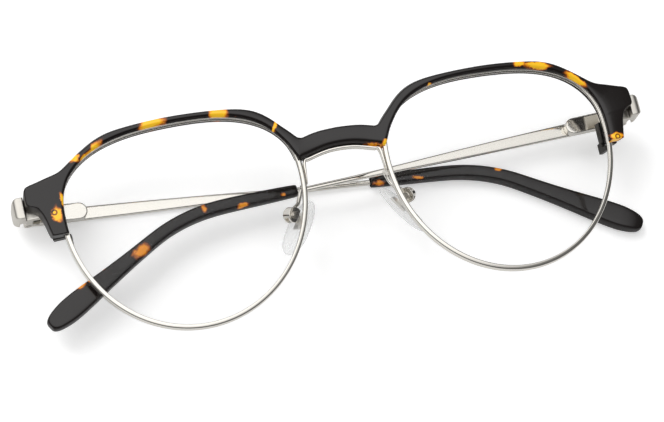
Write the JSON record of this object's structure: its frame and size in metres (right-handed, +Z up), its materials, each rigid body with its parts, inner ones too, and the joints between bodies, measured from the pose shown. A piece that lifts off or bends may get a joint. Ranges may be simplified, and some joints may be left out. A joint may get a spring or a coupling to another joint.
{
  "type": "browline glasses",
  "caption": "Folded browline glasses: dark tortoise acetate brow and temple tips on a slim silver metal frame with clear lenses, nose pads and spring hinges.",
  "frame": {"origin": "bottom centre of the folded glasses, on the surface they lie on", "axes": "+X across the front to the viewer's right, +Y from the lower lens edge to the brow, +Z up out of the front"},
  "size_m": [0.1406, 0.0458, 0.0221],
  "materials": {
    "tortoise": "polished",
    "silver": "polished",
    "clear_lens": "polished",
    "pad_plastic": "polished",
    "screw_steel": "satin",
    "spring_steel": "satin"
  },
  "bodies": {
    "front": {"brow_bar": "tortoise", "rim_left": "silver", "rim_right": "silver", "lens_left": "clear_lens", "lens_right": "clear_lens", "metal_bridge": "silver", "end_piece_left": "silver", "end_piece_right": "silver", "rim_block_left": "silver", "rim_block_right": "silver", "brow_screw_left": "screw_steel", "brow_screw_right": "screw_steel", "hinge_screw_left": "screw_steel", "hinge_screw_right": "screw_steel", "pad_arm_left": "silver", "pad_arm_right": "silver", "pad_box_left": "silver", "pad_box_right": "silver", "pad_screw_left": "screw_steel", "pad_screw_right": "screw_steel"},
    "pad_left": {"nose_pad_left": "pad_plastic", "pad_stem_left": "silver"},
    "hinge_left": {"slider_left": "screw_steel", "spring_nut_left": "screw_steel", "flex_spring_left": "spring_steel"},
    "temple_left": {"temple_bar_left": "silver", "temple_tip_left": "tortoise", "flex_box_left": "silver"},
    "pad_right": {"nose_pad_right": "pad_plastic", "pad_stem_right": "silver"},
    "hinge_right": {"slider_right": "screw_steel", "spring_nut_right": "screw_steel", "flex_spring_right": "spring_steel"},
    "temple_right": {"temple_bar_right": "silver", "temple_tip_right": "tortoise", "flex_box_right": "silver"}
  },
  "joints": [
    {"name": "temple_left_fold", "type": "hinge", "parent": "front", "child": "hinge_left", "pos_m": [-0.06686, 0.01063, 0.0033], "axis": [0, 1, 0], "range_deg": [0, 92]},
    {"name": "temple_right_fold", "type": "hinge", "parent": "front", "child": "hinge_right", "pos_m": [0.06706, 0.01063, 0.008], "axis": [0, -1, 0], "range_deg": [0, 96]},
    {"name": "temple_left_flex", "type": "slide", "parent": "hinge_left", "child": "temple_left", "axis": [0.9986, -0.0523, 0], "range_m": [0, 0.0012], "stiffness_N_per_m": 1500, "springref_m": -0.001, "deforming": ["flex_spring_left"]},
    {"name": "temple_right_flex", "type": "slide", "parent": "hinge_right", "child": "temple_right", "axis": [-0.998, -0.0628, 0], "range_m": [0, 0.0012], "stiffness_N_per_m": 1500, "springref_m": -0.001, "deforming": ["flex_spring_right"]},
    {"name": "pad_left_rock", "type": "hinge", "parent": "front", "child": "pad_left", "pos_m": [-0.01293, -0.00168, 0.01329], "axis": [0.452, -0.3124, 0.8355], "range_deg": [-10, 10]},
    {"name": "pad_right_rock", "type": "hinge", "parent": "front", "child": "pad_right", "pos_m": [0.01256, -0.00168, 0.01419], "axis": [-0.5095, -0.3124, 0.8018], "range_deg": [-10, 10]}
  ]
}
